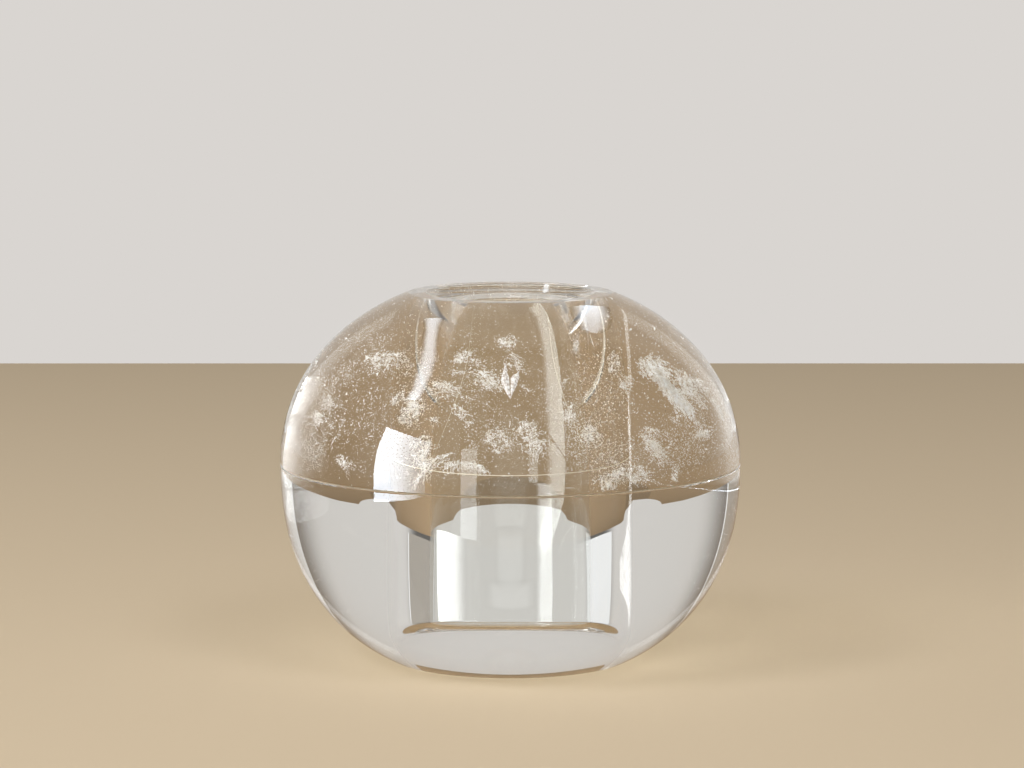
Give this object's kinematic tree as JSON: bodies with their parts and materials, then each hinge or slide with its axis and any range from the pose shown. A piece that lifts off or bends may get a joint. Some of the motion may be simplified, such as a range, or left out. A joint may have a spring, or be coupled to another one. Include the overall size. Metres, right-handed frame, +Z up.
{
  "type": "rose bowl vase",
  "caption": "Squat solid crystal vase of a clouded upper block and a clear lower block, joined flat at the widest line, with a straight blind bore for flower stems.",
  "frame": {"origin": "centre of the flat foot, on the surface that the vase stands on", "axes": "+Z up along the vase's axis of revolution, towards the mouth; X and Y lie in the foot's plane"},
  "size_m": [0.152, 0.152, 0.1213],
  "materials": {
    "clouded_crystal": "polished crystal with white specks and veils inside",
    "clear_crystal": "polished, clear",
    "clear_cement": "clear optical cement, slightly warm"
  },
  "bodies": {
    "root": {"crystal_dome": "clouded_crystal", "crystal_bowl": "clear_crystal", "cement_film": "clear_cement"}
  },
  "joints": []
}
